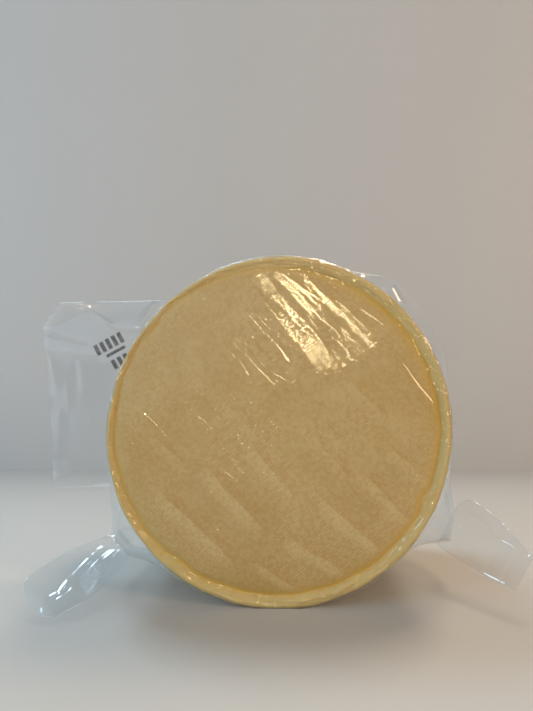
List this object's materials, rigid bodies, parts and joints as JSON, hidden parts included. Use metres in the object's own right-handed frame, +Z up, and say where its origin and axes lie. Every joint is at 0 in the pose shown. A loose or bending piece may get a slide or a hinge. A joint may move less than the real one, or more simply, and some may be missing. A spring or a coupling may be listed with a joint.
{
  "type": "vacuum-packed cured goat cheese wheel",
  "caption": "Whole pressed wheel of cured goat cheese, standing on its rim, vacuum-packed in a clear bag with loose corners and a sealed end.",
  "frame": {"origin": "on the small flat spot on the rim that the wheel stands on, straight below the middle of the wheel's axis", "axes": "+Z up; the wheel's axis is Y and its front face looks along -Y; X runs across, from the bag's sealed end at -X to its folded corner at +X"},
  "size_m": [0.2127, 0.0915, 0.1482],
  "materials": {
    "cheese": "pale straw-gold pressed rind with fine cloth ridges",
    "clear_film": "clear glossy vacuum film, creased and wrinkled"
  },
  "bodies": {
    "root": {"cheese_wheel": "cheese", "vacuum_bag": "clear_film"}
  },
  "joints": []
}
